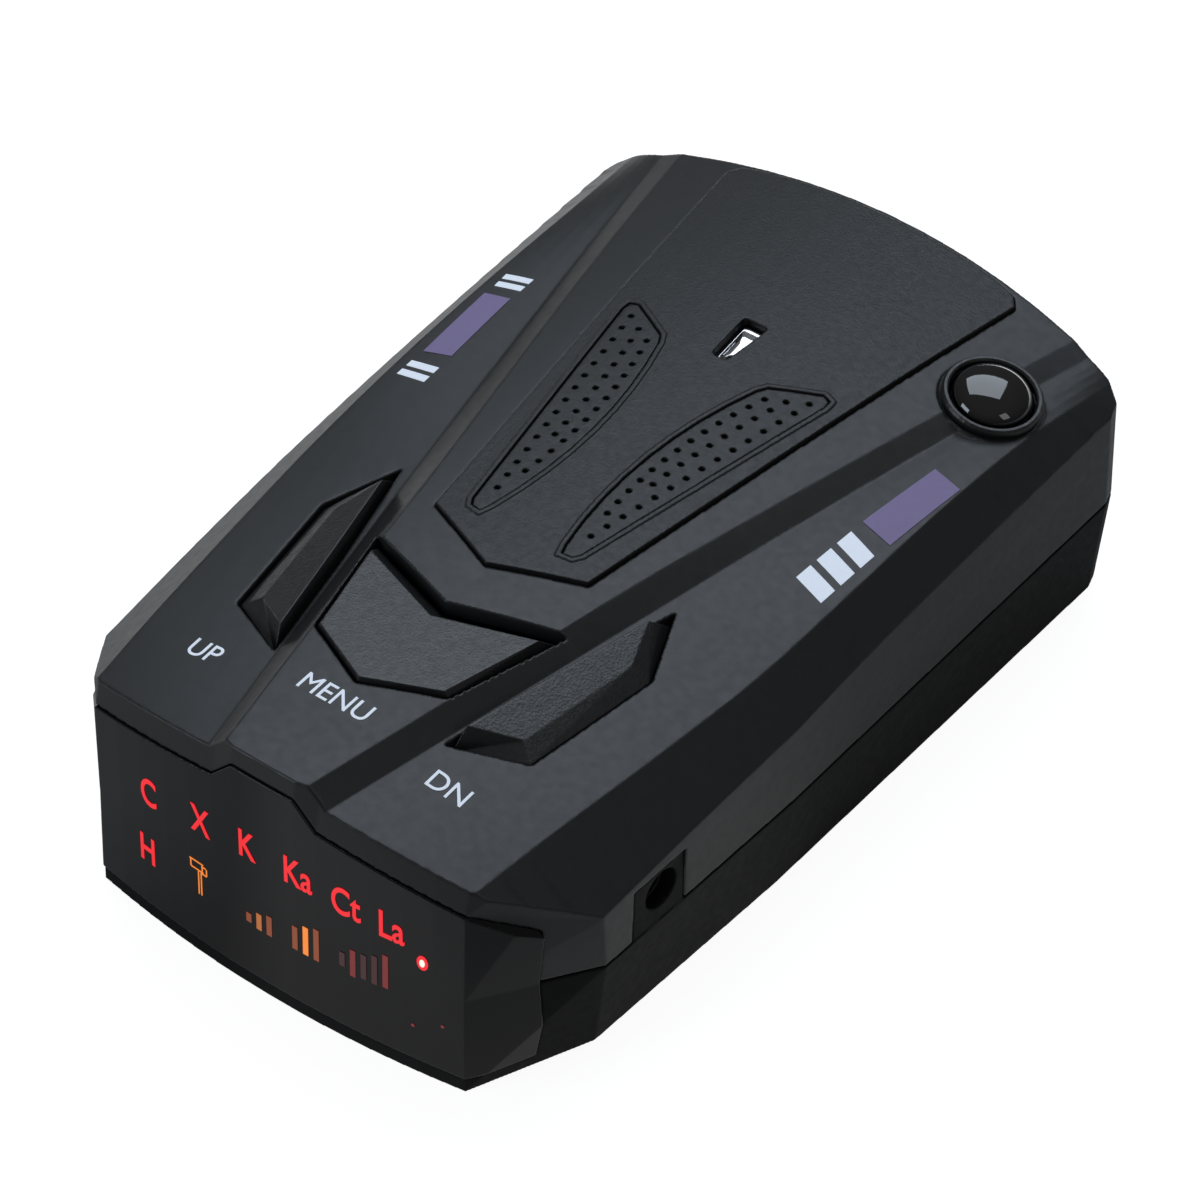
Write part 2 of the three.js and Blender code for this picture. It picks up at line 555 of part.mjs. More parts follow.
const SPEAKER = [6, 1];
const atSpeaker = (body) => body.translate([...SPEAKER, 0]);
const speakerFrame = () => atSpeaker(turned([
  [3, 21.2], [7.2, 21.2], [12.2, 26.2], [13, 26.2], [13, 27.4],
  [11.6, 27.4], [11.6, 26.8], [6.8, 22.2], [3, 22.2], [3, 21.2],
], 28));
const speakerCone = () => atSpeaker(turned([
  [0, 23.4], [3.2, 23.4], [10.8, 26.9], [11.2, 27.0], [11.2, 27.3],
  [10.8, 27.3], [3.2, 24.2], [0, 24.9], [0, 23.4],
], 28));
const speakerMagnet = () => rod(...SPEAKER, 16.5, 20.9, 6.2, 28);

function shieldCan() {
  const [x0, x1, y0, y1, z0, z1] = [5.5, 20, 19, 34, BOARD_TOP + GAP, 18.4];
  return cut(box(x0, x1, y0, y1, z0, z1), box(x0 + 0.6, x1 - 0.6, y0 + 0.6, y1 - 0.6, z0 - 1, z1 - 0.6));
}

const laserReceiver = () => join(box(5.5, 13.5, 42, 46.5, BOARD_TOP + GAP, 23.6),
  solid(new THREE.SphereGeometry(3.2, 20, 12).translate(9.5, 46.2, 20)));

const onBoard = (x0, x1, y0, y1, height) => box(x0, x1, y0, y1, BOARD_TOP + GAP, BOARD_TOP + GAP + height);
const standing = (x, y, radius, top) => rod(x, y, BOARD_TOP + GAP, top, radius);

// ---------------------------------------------------------------- materials
const finish = (color, roughness, metalness = 0, more = {}) => (
  new THREE.MeshStandardMaterial({ color, roughness, metalness, ...more }));

const softTouch = finish(0x2f3234, 0.55);
const tray = finish(0x232526, 0.6);
const grained = finish(0x2b2e30, 0.7);
const capBlack = finish(0x202223, 0.55);
const smoked = finish(0x0c0d0f, 0.08);
const chrome = finish(0xd8dadc, 0.12, 1);
const glassBlack = finish(0x08090a, 0.05);
const boardGreen = finish(0x1d5a3a, 0.5);
const black = finish(0x111213, 0.5);
const steel = finish(0xa9adb0, 0.35, 1);
const castZinc = finish(0x8d9093, 0.45, 1);
const paper = finish(0xc9cacb, 0.8);
const cone = finish(0x1a1b1c, 0.85);
const redLight = finish(0xff2a1c, 0.4, 0, { emissive: 0xc01008 });
const amberLight = finish(0xff9a2a, 0.4, 0, { emissive: 0xb05a08 });

// ---------------------------------------------------------------- assembly
const detector = new THREE.Group();

function add(name, body, material) {
  const mesh = new THREE.Mesh(geometryOf(body), material);
  mesh.name = name;
  detector.add(mesh);
}

add('top_shell', topShell(), softTouch);
add('bottom_shell', bottomShell(), tray);
add('display_lens', displayLens(), smoked);
add('top_panel', topPanel(), grained);
add('grille_pad_right', grillePad(), grained);
add('grille_pad_left', mirrored(grillePad()), grained);
add('laser_reflector', laserReflector(), chrome);
add('dome_ring', domeRing(), capBlack);
add('laser_dome', laserDome(), glassBlack);
add('rear_lens', rearLens(), smoked);

const KEYS = {
  down: { cap: keyCap(), spot: KEY_SPOT },
  up: { cap: mirrored(keyCap()), spot: [-KEY_SPOT[0], KEY_SPOT[1]] },
  menu: { cap: menuCap(), spot: MENU_SPOT },
};
for (const [name, { cap, spot }] of Object.entries(KEYS)) {
  add(`button_${name}`, cap, capBlack);
  add(`plunger_${name}`, switchPlunger(spot), black);
  add(`switch_${name}`, switchBody(spot), steel);
}

add('key_board', keyBoard(), boardGreen);
add('main_board', mainBoard(), boardGreen);
add('display_board', displayBoard(), boardGreen);
add('display_mask', displayMask(), black);
for (const [name, cell] of Object.entries(CELLS)) {
  const amber = name === 'camera' || name.startsWith('bars');
  add(`led_${name}`, ledBlock(cell), amber ? amberLight : redLight);
}
add('board_header', box(-8, 8, -44.7, -42.2, BOARD_TOP + GAP, BOARD_TOP + 2.8), black);
add('dc_jack', dcJack(), black);
add('dc_jack_pin', jackPin(), steel);
add('horn_casting', hornCasting(), castZinc);
add('mixer_board', mixerBoard(), boardGreen);
add('oscillator_can', oscillatorCan(), steel);
add('speaker_frame', speakerFrame(), steel);
add('speaker_cone', speakerCone(), cone);
add('speaker_magnet', speakerMagnet(), castZinc);
add('shield_can', shieldCan(), steel);
add('laser_receiver', laserReceiver(), black);
add('dome_receiver', standing(DOME.x, DOME.y, 2.2, 23.4), black);
add('reflector_receiver', standing(0, 25.6, 2.0, 27.6), black);
add('controller_chip', onBoard(-14, -4, -18, -8, 1.5), black);
add('supply_capacitor', standing(24.8, -20, 4.0, 24.2), black);
CASE_SCREWS.forEach((spot, i) => add(`case_screw_${i + 1}`, caseScrew(spot), steel));
BOARD_SCREWS.forEach((spot, i) => add(`board_screw_${i + 1}`, boardScrew(spot), steel));
KEY_SCREWS.forEach((spot, i) => add(`key_screw_${i + 1}`, keyScrew(spot), steel));
add('rating_label', box(-16.5, 16.5, -11.5, 11.5, 0.05, 0.3), paper);

export default detector;
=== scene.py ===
"""Looks of the dashboard radar detector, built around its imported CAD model.

Metres, in the CAD frame: +Z up, display toward -Y, DC socket toward +X, base on z = 0.
"""
import math

import bmesh
import bpy
from mathutils import Matrix, Vector
from mathutils.bvhtree import BVHTree


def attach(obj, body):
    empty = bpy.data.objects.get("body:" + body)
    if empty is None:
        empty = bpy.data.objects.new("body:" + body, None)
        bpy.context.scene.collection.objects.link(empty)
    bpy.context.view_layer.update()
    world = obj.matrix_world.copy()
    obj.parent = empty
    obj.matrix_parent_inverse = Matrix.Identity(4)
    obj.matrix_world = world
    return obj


MM = 0.001
AIM = Vector((0, 0, 0.02))         # where every lamp points

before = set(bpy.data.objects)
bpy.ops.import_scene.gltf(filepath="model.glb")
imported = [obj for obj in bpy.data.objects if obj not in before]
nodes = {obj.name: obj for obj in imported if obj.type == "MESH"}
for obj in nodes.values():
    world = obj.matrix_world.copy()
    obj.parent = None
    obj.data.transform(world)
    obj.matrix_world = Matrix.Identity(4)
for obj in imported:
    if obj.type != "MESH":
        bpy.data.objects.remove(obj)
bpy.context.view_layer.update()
scene = bpy.context.scene
scene.view_settings.view_transform = "Standard"


# ---------------------------------------------------------------- camera and light
def look_along(forward, right):
    """Rotation of a camera that looks along forward, with right to its right."""
    back = -Vector(forward).normalized()
    side = (Vector(right) - back * back.dot(Vector(right))).normalized()
    up = back.cross(side)
    return Matrix((side, up, back)).transposed()


def add_camera(place_mm, forward, right, lens_mm):
    data = bpy.data.cameras.new("camera")
    data.lens = lens_mm
    data.sensor_width = 36
    data.clip_start = 0.01
    data.clip_end = 20
    camera = bpy.data.objects.new("camera", data)
    place = Matrix.Translation(Vector(place_mm) * MM)
    camera.matrix_world = place @ look_along(forward, right).to_4x4()
    scene.collection.objects.link(camera)
    scene.camera = camera


def area_light(name, place, size, watts, colour=(1, 1, 1)):
    """A rectangular lamp that faces the object."""
    data = bpy.data.lights.new(name, "AREA")
    data.shape = "RECTANGLE"
    data.size, data.size_y = size
    data.energy = watts
    data.color = colour
    light = bpy.data.objects.new(name, data)
    light.location = Vector(place)
    light.rotation_euler = (AIM - Vector(place)).to_track_quat("-Z", "Y").to_euler()
    scene.collection.objects.link(light)


def add_world(zenith, horizon):
    """Soft room light, brighter overhead than at the horizon."""
    world = bpy.data.worlds.new("studio")
    scene.world = world
    world.use_nodes = True
    tree = world.node_tree
    background = tree.nodes["Background"]
    background.inputs["Strength"].default_value = 1.0
    split = tree.nodes.new("ShaderNodeSeparateXYZ")
    tree.links.new(tree.nodes.new("ShaderNodeTexCoord").outputs["Generated"], split.inputs[0])
    ramp = tree.nodes.new("ShaderNodeMapRange")
    ramp.inputs["From Min"].default_value = 0.0
    ramp.inputs["From Max"].default_value = 0.8
    ramp.inputs["To Min"].default_value = horizon
    ramp.inputs["To Max"].default_value = zenith
    tree.links.new(split.outputs["Z"], ramp.inputs["Value"])
    tree.links.new(ramp.outputs["Result"], background.inputs["Color"])


# ---------------------------------------------------------------- materials
class Shader:
    """A Principled material with short helpers for procedural detail."""

    def __init__(self, name, **settings):
        self.material = bpy.data.materials.new(name)
        self.material.use_nodes = True
        self.tree = self.material.node_tree
        self.bsdf = self.tree.nodes["Principled BSDF"]
        for socket, value in settings.items():
            self.bsdf.inputs[socket.replace("_", " ")].default_value = value
        self.place = self.tree.nodes.new("ShaderNodeTexCoord").outputs["Object"]

    def noise(self, per_mm, detail=2.0, stretch=(1, 1, 1)):
        """Soft noise with the given number of features per mm."""
        mapping = self.tree.nodes.new("ShaderNodeMapping")
        mapping.inputs["Scale"].default_value = [s / MM for s in stretch]
        self.tree.links.new(self.place, mapping.inputs["Vector"])
        node = self.tree.nodes.new("ShaderNodeTexNoise")
        node.inputs["Scale"].default_value = per_mm
        node.inputs["Detail"].default_value = detail
        self.tree.links.new(mapping.outputs["Vector"], node.inputs["Vector"])
        return node.outputs["Fac"]

    def cells(self, per_mm):
        """Rounded cells, like those of leather."""
        mapping = self.tree.nodes.new("ShaderNodeMapping")
        mapping.inputs["Scale"].default_value = [1 / MM] * 3
        self.tree.links.new(self.place, mapping.inputs["Vector"])
        node = self.tree.nodes.new("ShaderNodeTexVoronoi")
        node.feature = "SMOOTH_F1"
        node.inputs["Scale"].default_value = per_mm
        node.inputs["Smoothness"].default_value = 0.6
        self.tree.links.new(mapping.outputs["Vector"], node.inputs["Vector"])
        return node.outputs["Distance"]

    def spread(self, factor, low, high):
        """Noise, which stays near its middle, stretched over low to high."""
        node = self.tree.nodes.new("ShaderNodeMapRange")
        node.inputs["From Min"].default_value = 0.3
        node.inputs["From Max"].default_value = 0.7
        node.inputs["To Min"].default_value = low
        node.inputs["To Max"].default_value = high
        self.tree.links.new(factor, node.inputs["Value"])
        return node.outputs["Result"]

    def colour(self, factor, low, high):
        node = self.tree.nodes.new("ShaderNodeMix")
        node.data_type = "RGBA"
        node.inputs["A"].default_value = (*low, 1)
        node.inputs["B"].default_value = (*high, 1)
        self.tree.links.new(factor, node.inputs["Factor"])
        self.tree.links.new(node.outputs["Result"], self.bsdf.inputs["Base Color"])
        return self

    def roughness(self, factor, low, high):
        self.tree.links.new(self.spread(factor, low, high), self.bsdf.inputs["Roughness"])
        return self

    def bump(self, height, strength, depth_mm):
        node = self.tree.nodes.new("ShaderNodeBump")
        node.inputs["Strength"].default_value = strength
        node.inputs["Distance"].default_value = depth_mm * MM
        self.tree.links.new(height, node.inputs["Height"])
        previous = self.bsdf.inputs["Normal"].links
        if previous:
            self.tree.links.new(previous[0].from_socket, node.inputs["Normal"])
        self.tree.links.new(node.outputs["Normal"], self.bsdf.inputs["Normal"])
        return self


def moulded(name, low, high, rough, grain, depth, specular=0.5):
    """Moulded plastic: slow colour drift, uneven gloss and a grain of the given size."""
    s = Shader(name, Specular_IOR_Level=specular)
    drift = s.noise(0.06, 3)
    s.colour(drift, low, high)
    s.roughness(s.noise(0.9, 3), rough - 0.04, rough + 0.04)
    s.bump(s.noise(grain, 3), 0.6, depth)
    return s.material


def leathered(name, low, high, rough, specular=0.5):
    """Plastic with a rounded, leather-like grain."""
    s = Shader(name, Specular_IOR_Level=specular)
    s.colour(s.noise(0.09, 3), low, high)
    s.roughness(s.noise(1.3, 2), rough - 0.05, rough + 0.05)
    s.bump(s.cells(3.4), 0.5, 0.05)
    s.bump(s.noise(7.0, 2), 0.4, 0.015)
    return s.material


def glossy(name, colour, rough, coat=0.0, specular=0.5):
    """Polished plastic or lacquer."""
    s = Shader(name, Specular_IOR_Level=specular, Coat_Weight=coat, Coat_Roughness=0.02)
    s.colour(s.noise(0.05, 2), colour, [c * 1.25 for c in colour])
    s.roughness(s.noise(0.4, 2), rough, rough + 0.02)
    return s.material


def metal(name, colour, rough, grain=1.5, stretch=(1, 1, 1)):
    """Bare metal with a fine, slightly uneven finish."""
    s = Shader(name, Metallic=1.0)
    s.colour(s.noise(0.2, 3), [c * 0.85 for c in colour], colour)
    s.roughness(s.noise(grain, 3, stretch), rough - 0.05, rough + 0.05)
    s.bump(s.noise(grain * 3, 2, stretch), 0.2, 0.01)
    return s.material


def glowing(name, colour, strength):
    """A lit lamp or icon."""
    s = Shader(name, Roughness=0.35, Emission_Strength=strength)
    s.bsdf.inputs["Emission Color"].default_value = (*colour, 1)
    s.colour(s.noise(0.8, 2), [c * 0.4 for c in colour], [c * 0.5 for c in colour])
    return s.material


def printed(name, colour, glow=0.0):
    """Ink or a paper label; a glow above zero is painted light, an emission that stands in for the light
    falling on the print.
    """
    s = Shader(name, Specular_IOR_Level=0.3, Emission_Strength=glow)
    s.bsdf.inputs["Emission Color"].default_value = (*colour, 1)
    s.colour(s.noise(2.5, 3), [c * 0.9 for c in colour], colour)
    s.roughness(s.noise(2.0, 2), 0.45, 0.55)
    return s.material


def add_floor(seen, across, thrown):
    """A pale floor: even to the camera, with its own glow to everything else.

    That glow changes along the direction across: thrown lists places in it and the glow there.
    """
    mesh = bpy.data.meshes.new("floor")
    mesh.from_pydata([(-3, -3, 0), (3, -3, 0), (3, 3, 0), (-3, 3, 0)], [], [(0, 1, 2, 3)])
    floor = bpy.data.objects.new("floor", mesh)
    scene.collection.objects.link(floor)
    s = Shader("floor", Specular_IOR_Level=0.0, Roughness=0.9)
    s.bsdf.inputs["Emission Color"].default_value = (1, 1, 1, 1)
    s.colour(s.noise(0.01, 2), (0.30, 0.30, 0.30), (0.32, 0.32, 0.32))
    along = s.tree.nodes.new("ShaderNodeVectorMath")
    along.operation = "DOT_PRODUCT"
    along.inputs[1].default_value = across
    s.tree.links.new(s.place, along.inputs[0])
    first, last = thrown[0][0], thrown[-1][0]
    share = s.tree.nodes.new("ShaderNodeMapRange")
    share.inputs["From Min"].default_value = first
    share.inputs["From Max"].default_value = last
    s.tree.links.new(along.outputs["Value"], share.inputs["Value"])
    ramp = s.tree.nodes.new("ShaderNodeValToRGB")
    stops = ramp.color_ramp.elements
    stops.remove(stops[0])
    for i, (place, glow_there) in enumerate(thrown):
        position = (place - first) / (last - first)
        stop = stops[0] if i == 0 else stops.new(position)
        stop.position = position
        stop.color = (glow_there, glow_there, glow_there, 1)
    s.tree.links.new(share.outputs["Result"], ramp.inputs["Fac"])
    ray = s.tree.nodes.new("ShaderNodeLightPath")
    glow = s.tree.nodes.new("ShaderNodeMapRange")
    s.tree.links.new(ramp.outputs["Color"], glow.inputs["To Min"])
    glow.inputs["To Max"].default_value = seen
    s.tree.links.new(ray.outputs["Is Camera Ray"], glow.inputs["Value"])
    s.tree.links.new(glow.outputs["Result"], s.bsdf.inputs["Emission Strength"])
    mesh.materials.append(s.material)


MATERIALS = {
    "shell": moulded("shell", (0.020, 0.021, 0.022), (0.024, 0.025, 0.026), 0.40, 5.5, 0.012),
    "tray": moulded("tray", (0.009, 0.0095, 0.010), (0.012, 0.0125, 0.013), 0.55, 4.0, 0.02, 0.1),
    "grained": leathered("grained", (0.013, 0.0135, 0.014), (0.017, 0.0175, 0.018), 0.45),
    "key": leathered("key", (0.012, 0.0125, 0.013), (0.016, 0.0165, 0.017), 0.38, 0.7),
    "lens": glossy("lens", (0.008, 0.008, 0.009), 0.03, specular=0.35),
    "dome": glossy("dome", (0.004, 0.004, 0.0045), 0.03, 0.8, 0.8),
    "chrome": metal("chrome", (0.85, 0.86, 0.88), 0.12),
    "board": glossy("board", (0.012, 0.085, 0.04), 0.35),
    "component": moulded(
        "component", (0.010, 0.010, 0.011), (0.014, 0.014, 0.015), 0.45, 3.0, 0.01),
    "steel": metal("steel", (0.55, 0.56, 0.58), 0.3, 2.0, (1, 1, 4)),
    "cast": metal("cast", (0.42, 0.43, 0.45), 0.45, 3.0),
    "paper_cone": moulded(
        "paper_cone", (0.010, 0.010, 0.011), (0.018, 0.018, 0.019), 0.85, 2.0, 0.05, 0.2),
    "label": printed("label", (0.42, 0.43, 0.44)),
    "lamp_red": glowing("lamp_red", (1.0, 0.03, 0.02), 1.0),
    "lamp_amber": glowing("lamp_amber", (1.0, 0.35, 0.05), 1.0),
    "glow_red": glowing("glow_red", (1.0, 0.025, 0.035), 0.78),
    "glow_amber": glowing("glow_amber", (1.0, 0.28, 0.05), 0.8),
    "mid_amber": glowing("mid_amber", (0.62, 0.19, 0.05), 0.6),
    "dim_amber": glowing("dim_amber", (0.33, 0.085, 0.035), 0.6),
    "dim_red": glowing("dim_red", (0.19, 0.025, 0.025), 0.8),
    "faint_red": glowing("faint_red", (0.055, 0.02, 0.022), 0.8),
    "lamp_core": glowing("lamp_core", (1.0, 0.75, 0.65), 1.2),
    # Painted glow: the ink and purple prints are no lamps, yet they emit light that stands in for the
    # light falling on them.
    "ink": printed("ink", (0.80, 0.88, 1.0), 0.35),
    "purple": printed("purple", (0.27, 0.22, 0.42), 0.08),
}

NODE_MATERIAL = {
    "top_shell": "shell", "bottom_shell": "tray", "display_lens": "lens", "top_panel": "grained",
    "grille_pad_left": "grained", "grille_pad_right": "grained", "laser_reflector": "chrome",
    "dome_ring": "key", "laser_dome": "dome", "rear_lens": "lens", "dc_jack": "component",
    "dc_jack_pin": "steel", "horn_casting": "cast", "oscillator_can": "steel", "speaker_frame": "steel",
    "speaker_cone": "paper_cone", "speaker_magnet": "cast", "shield_can": "steel", "rating_label": "label",
    "led_camera": "lamp_amber", "led_bars_low": "lamp_amber", "led_bars_mid": "lamp_amber",
    "led_bars_high": "lamp_amber",
}
PREFIX_MATERIAL = {
    "button_": "key", "switch_": "steel", "led_": "lamp_red", "case_screw_": "steel",
    "board_screw_": "steel", "key_screw_": "steel",
}


def material_of(name):
    if name in NODE_MATERIAL:
        return NODE_MATERIAL[name]
    if name.endswith("_board"):
        return "board"
    for prefix, material in PREFIX_MATERIAL.items():
        if name.startswith(prefix):
            return material
    return "component"


# ---------------------------------------------------------------- finish of the CAD nodes
# Each moulded part's grid depth, smoothing passes and share of the faces kept.
MOULD = {
    "top_shell": (9, 4, 0.14), "bottom_shell": (9, 3, 0.06), "display_lens": (9, 4, 0.08),
    "top_panel": (9, 3, 0.16), "grille_pad_left": (8, 3, 0.3), "grille_pad_right": (8, 3, 0.3),
    "button_up": (8, 3, 0.25), "button_down": (8, 3, 0.25), "button_menu": (8, 3, 0.15),
    "rear_lens": (8, 3, 0.1), "dome_ring": (7, 2, 0.5), "laser_reflector": (7, 12, 0.3),
    "dc_jack": (7, 2, 0.2),
}
ROUND = ("laser_dome",)
WELD_MM = 0.004
CHAMFER_MM = 0.08
CHAMFER_FROM = math.radians(40)    # edges that turn more than this are chamfered


def join_corners(node):
    """Makes the CAD node's triangles share their corners."""
    weld = node.modifiers.new("weld", "WELD")
    weld.merge_threshold = WELD_MM * MM


def mould(node, depth, passes, share):
    """Rebuilds a CAD node's surface evenly and rounds its edges, with modifiers only."""
    join_corners(node)
    grid = node.modifiers.new("grid", "REMESH")
    grid.mode = "SHARP"
    grid.octree_depth = depth
    grid.scale = 0.98
    grid.use_remove_disconnected = False
    grid.use_smooth_shade = True
    ease = node.modifiers.new("ease", "SMOOTH")
    ease.factor = 0.5
    ease.iterations = passes
    thin = node.modifiers.new("thin", "DECIMATE")
    thin.ratio = share


def smooth_round(node):
    """Smooths a turned CAD node."""
    join_corners(node)
    finer = node.modifiers.new("finer", "SUBSURF")
    finer.levels = 1
    finer.render_levels = 1
    node.data.shade_smooth()


def chamfer(node):
    """Takes the knife edge off a plain CAD node."""
    join_corners(node)
    edge = node.modifiers.new("edge", "BEVEL")
    edge.width = CHAMFER_MM * MM
    edge.segments = 2
    edge.limit_method = "ANGLE"
    edge.angle_limit = CHAMFER_FROM
    edge.harden_normals = True
    node.data.shade_smooth()


for name, node in nodes.items():
    node.data.materials.clear()
    node.data.materials.append(MATERIALS[material_of(name)])
    if name in MOULD:
        mould(node, *MOULD[name])
    elif name in ROUND:
        smooth_round(node)
    else:
        chamfer(node)

# ---------------------------------------------------------------- prints on the surfaces
INK_MM = 0.06                      # thickness of a print
INK_LIFT_MM = 0.05                 # height of a print's middle above the CAD surface
IN_FRONT = -0.08                   # y of a place in front of the display
ABOVE = 0.05                       # z of a place above the shell
CAPITAL_SHARE = 0.72               # height of a capital letter in the font's size
DISPLAY_LETTER = (3.75, 0.66, 0.014)   # height in mm, how narrow it is, extra weight
KEY_LETTER = (2.45, 0.95, 0.0)


def surface(name):
    """A ray-casting tree of a CAD node's own mesh."""
    mesh = nodes[name].data
    corners = [v.co for v in mesh.vertices]
    return BVHTree.FromPolygons(corners, [p.vertices[:] for p in mesh.polygons])


def lay(shape, tree, origin_of, toward):
    """Moves each corner of a flat shape onto the surface that it is printed on."""
    points, faces = shape
    away = Vector(toward) * -1
    laid = []
    for x, y in points:
        start = origin_of(x * MM, y * MM)
        hit = tree.ray_cast(start, Vector(toward))[0]
        laid.append((hit or start) + away * INK_LIFT_MM * MM)
    return laid, faces


def text_shape(text, height, narrow, weight):
    """A word as a flat shape in mm, centred on its own box."""
    curve = bpy.data.curves.new("word", "FONT")
    curve.body = text
    curve.size = height / CAPITAL_SHARE
    curve.offset = weight * curve.size
    curve.resolution_u = 6
    holder = bpy.data.objects.new("word", curve)
    scene.collection.objects.link(holder)
    bpy.context.view_layer.update()
    evaluated = holder.evaluated_get(bpy.context.evaluated_depsgraph_get())
    mesh = bpy.data.meshes.new_from_object(evaluated)
    bpy.data.objects.remove(holder)
    points = [(v.co.x * narrow, v.co.y) for v in mesh.vertices]
    faces = [tuple(p.vertices) for p in mesh.polygons]
    middle = [(min(c) + max(c)) / 2 for c in zip(*points)]
    return [(x - middle[0], y - middle[1]) for x, y in points], faces


def polygons_shape(*outlines):
    """Several flat outlines in mm as one shape."""
    points, faces = [], []
    for outline in outlines:
        faces.append(tuple(range(len(points), len(points) + len(outline))))
        points.extend(outline)
    return points, faces


def bar(x, y, width, height):
    """A bar standing on its base line."""
    w = width / 2
    return [(x - w, y), (x + w, y), (x + w, y + height), (x - w, y + height)]


def moved(shape, by_x, by_y):
    points, faces = shape
    return [(by_x + x, by_y + y) for x, y in points], faces


def print_piece(name, laid, material, body="housing"):
    """A thin film of ink or light on the housing."""
    points, faces = laid
    mesh = bpy.data.meshes.new(name)
    mesh.from_pydata([tuple(p) for p in points], [], faces)
    work = bmesh.new()
    work.from_mesh(mesh)
    bmesh.ops.remove_doubles(work, verts=work.verts, dist=0.002 * MM)
    bmesh.ops.triangulate(work, faces=[f for f in work.faces if len(f.verts) > 4])
    bmesh.ops.recalc_face_normals(work, faces=work.faces)
    work.to_mesh(mesh)
    work.free()
    piece = bpy.data.objects.new(name, mesh)
    scene.collection.objects.link(piece)
    piece.data.materials.append(MATERIALS[material])
    thick = piece.modifiers.new("film", "SOLIDIFY")
    thick.thickness = INK_MM * MM
    thick.offset = 0
    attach(piece, body)
    return piece


lens_tree = surface("display_lens")
shell_tree = surface("top_shell")


def on_lens(name, shape, material):
    """Lays a shape in x and z on the front of the display."""
    laid = lay(shape, lens_tree, lambda x, z: Vector((x, IN_FRONT, z)), (0, 1, 0))
    return print_piece(name, laid, material)


def on_top(name, shape, material):
    """Lays a shape in x and y on the top shell."""
    laid = lay(shape, shell_tree, lambda x, y: Vector((x, y, ABOVE)), (0, 0, -1))
    return print_piece(name, laid, material)


# Each display word and the place of its middle, x and z in mm.
BAND_LETTERS = {
    "c": ("C", -16.0, 18.5), "h": ("H", -16.6, 10.0), "x": ("X", -8.5, 19.7), "k": ("K", -2.05, 20.4),
    "ka": ("Ka", 4.5, 20.3), "ct": ("Ct", 10.4, 19.8), "la": ("La", 15.8, 19.4),
}
for key, (word, x, z) in BAND_LETTERS.items():
    on_lens(f"lit_{key}", moved(text_shape(word, *DISPLAY_LETTER), x, z), "glow_red")

CAMERA_ICON = polygons_shape(
    bar(-0.3, 0.7, 1.7, 0.14), bar(-0.4, 1.8, 1.9, 0.14), bar(-1.2, 0.8, 0.14, 1.0),
    bar(0.65, 0.5, 0.7, 0.14), bar(1.0, 0.6, 0.14, 0.9), bar(0.4, 0.9, 0.14, 0.8),
    bar(0.6, 1.5, 0.6, 0.14),
    bar(-0.15, -2.6, 0.13, 3.2), bar(0.22, -2.6, 0.13, 3.2),
)
on_lens("lit_camera", moved(CAMERA_ICON, -8.9, 11.5), "glow_amber")

BAR_WIDTH = 0.65
# Signal bars, left to right: x and z of the base, height and material of each.
SIGNAL_BARS = {
    "low_1": (-2.15, 9.5, 1.2, "dim_amber"), "low_2": (-0.8, 9.2, 2.2, "mid_amber"),
    "low_3": (0.55, 9.2, 2.7, "dim_amber"), "mid_1": (3.9, 9.4, 3.2, "dim_amber"),
    "mid_2": (5.25, 9.4, 3.9, "glow_amber"), "mid_3": (6.6, 9.4, 4.4, "dim_amber"),
    "high_1": (9.8, 10.6, 1.9, "faint_red"), "high_2": (11.1, 9.8, 3.7, "dim_red"),
    "high_3": (12.4, 10.2, 3.4, "faint_red"), "high_4": (13.7, 10.2, 4.0, "faint_red"),
    "high_5": (15.0, 10.4, 4.6, "dim_red"),
}
for key, (x, z, height, material) in SIGNAL_BARS.items():
    on_lens(f"lit_bar_{key}", polygons_shape(bar(x, z, BAR_WIDTH, height)), material)


def spot(x, z, width, height, corners=16):
    """An oval."""
    angles = [math.tau * i / corners for i in range(corners)]
    return [(x + width / 2 * math.cos(a), z + height / 2 * math.sin(a)) for a in angles]


on_lens("lit_alert", polygons_shape(spot(19.3, 16.3, 1.3, 2.0)), "glow_red")
on_lens("lit_dots", polygons_shape(spot(18.2, 6.8, 0.4, 0.4), spot(21.6, 8.4, 0.4, 0.4)), "dim_red")
core = on_lens("lit_alert_core", polygons_shape(spot(19.3, 16.3, 0.6, 1.0)), "lamp_core")
core.location.y -= INK_MM * MM     # in front of the red

# Each key's legend and the place of its middle, x and y in mm.
LEGENDS = {"up": ("UP", -17.0, -41.9), "menu": ("MENU", -0.2, -41.3), "down": ("DN", 14.8, -42.2)}
for key, (word, x, y) in LEGENDS.items():
    on_top(f"legend_{key}", moved(text_shape(word, *KEY_LETTER), x, y), "ink")


def block(corners):
    """A four-sided patch in small cells, so that it can follow the surface."""
    a, b, c, d = [Vector(corner) for corner in corners]
    steps = 3
    n = steps + 1
    points, faces = [], []
    for j in range(n):
        for i in range(n):
            front, rear = a.lerp(b, i / steps), d.lerp(c, i / steps)
            points.append(front.lerp(rear, j / steps)[:])
    for j in range(steps):
        for i in range(steps):
            corner = j * n + i
            faces.append((corner, corner + 1, corner + 1 + n, corner + n))
    return points, faces


def bars_across(corners, count, fill):
    """Bars side by side along a four-sided patch, filling the given share of it."""
    a, b, c, d = [Vector(corner) for corner in corners]
    points, faces = [], []
    for i in range(count):
        start, end = i / count, (i + fill) / count
        ends = [a.lerp(d, start), b.lerp(c, start), b.lerp(c, end), a.lerp(d, end)]
        bar_points, bar_faces = block(ends)
        faces += [tuple(len(points) + k for k in face) for face in bar_faces]
        points += bar_points
    return points, faces


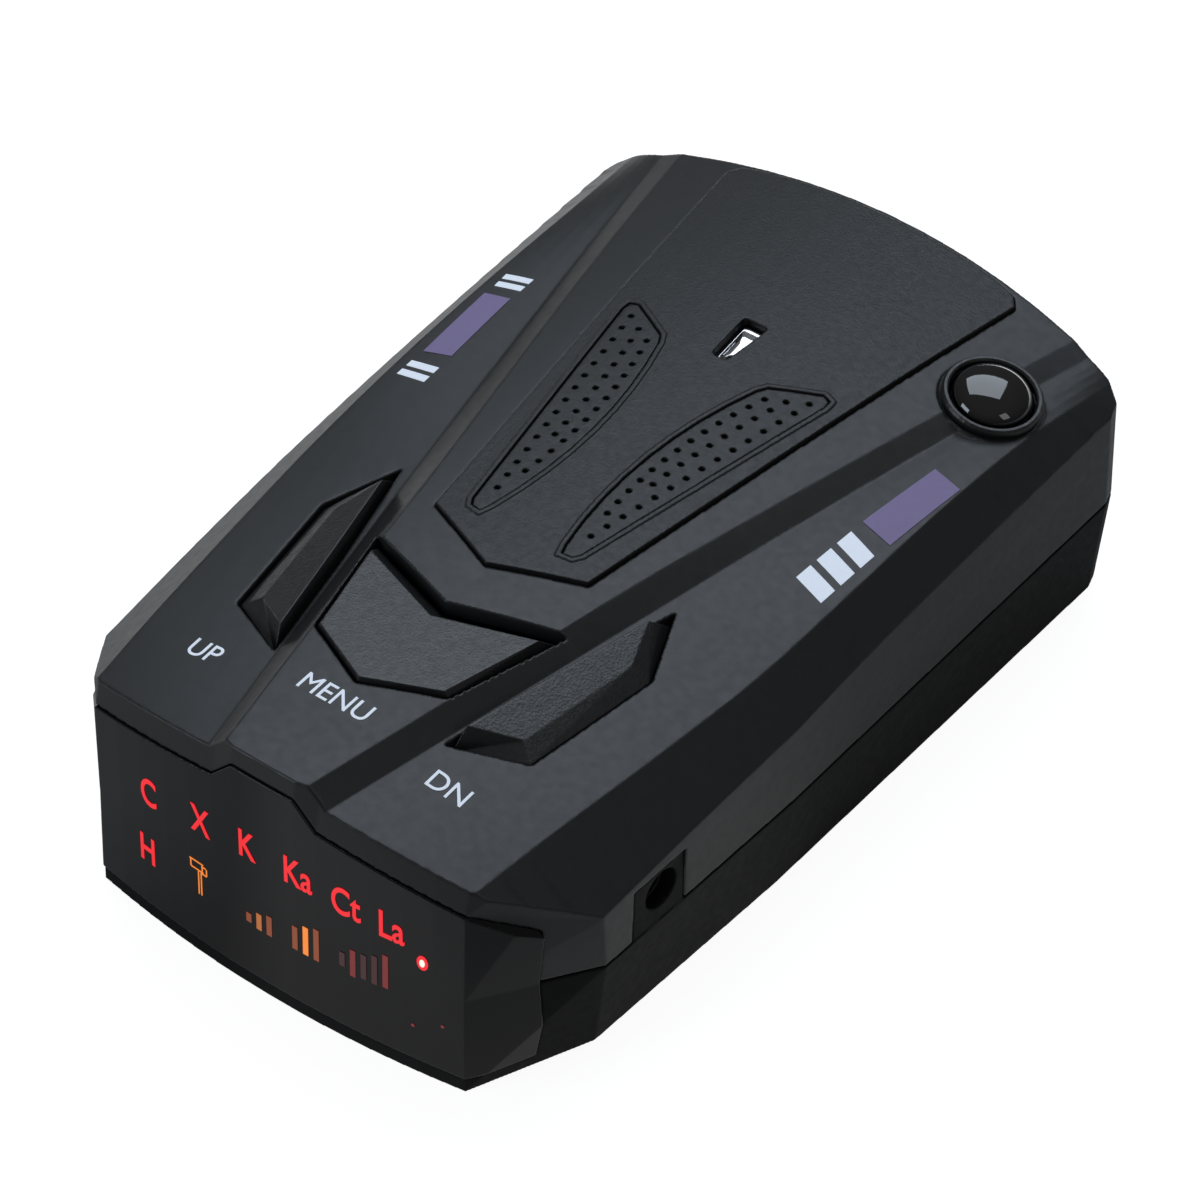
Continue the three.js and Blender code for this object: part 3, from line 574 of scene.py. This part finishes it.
# Plain tags on the two wings: corners in mm, number of bars, share that they fill, material.
TAGS = {
    "purple_right": ([(25.13, 13.6), (29.24, 12.69), (30.15, 24.18), (26.43, 24.99)], 1, 1.0, "purple"),
    "white_right": ([(24.45, 2.72), (28.38, 1.62), (28.91, 11.38), (25.11, 12.65)], 3, 0.7, "ink"),
    "purple_left": ([(-28.41, 7.31), (-25.19, 8.21), (-26.0, 19.51), (-29.04, 18.79)], 1, 1.0, "purple"),
    "white_left_rear": ([(-28.94, 20.4), (-25.96, 21.2), (-26.06, 24.27), (-29.23, 23.39)], 2, 0.6, "ink"),
    "white_left_front": ([(-28.5, 2.9), (-25.0, 3.2), (-25.1, 6.6), (-28.5, 6.1)], 2, 0.6, "ink"),
}
for key, (corners, count, fill, material) in TAGS.items():
    on_top(f"tag_{key}", bars_across(corners, count, fill), material)

# ---------------------------------------------------------------- studio
CAMERA_PLACE_MM = (224.85, -292.26, 370.26)
CAMERA_FORWARD = (-0.4373, 0.5714, -0.6944)
CAMERA_RIGHT = (0.7947, 0.607, -0.001)
CAMERA_LENS_MM = 144
COOL = (0.90, 1.0, 1.12)
FLOOR_SEEN = 0.93                  # glow of the floor to the camera
FLOOR_ACROSS = (1.0, -0.765, 0.0)
# A pale card far to the left, a dark stretch, then a brighter one in front of the display.
FLOOR_THROWN = [
    (-0.36, 1.5), (-0.12, 0.45), (0.0, 0.11), (0.034, 0.11),
    (0.044, 0.27), (0.066, 0.30), (0.09, 0.10), (0.14, 0.08),
]

add_camera(CAMERA_PLACE_MM, CAMERA_FORWARD, CAMERA_RIGHT, CAMERA_LENS_MM)
add_world(zenith=0.12, horizon=0.05)
add_floor(FLOOR_SEEN, FLOOR_ACROSS, FLOOR_THROWN)
area_light("overhead", (-0.22, 0.40, 0.76), (0.80, 0.66), 3.2, COOL)
area_light("front_left", (-0.42, -0.62, 0.30), (0.36, 0.36), 1.1, COOL)
area_light("right", (0.70, -0.06, 0.48), (0.24, 0.34), 0.25)
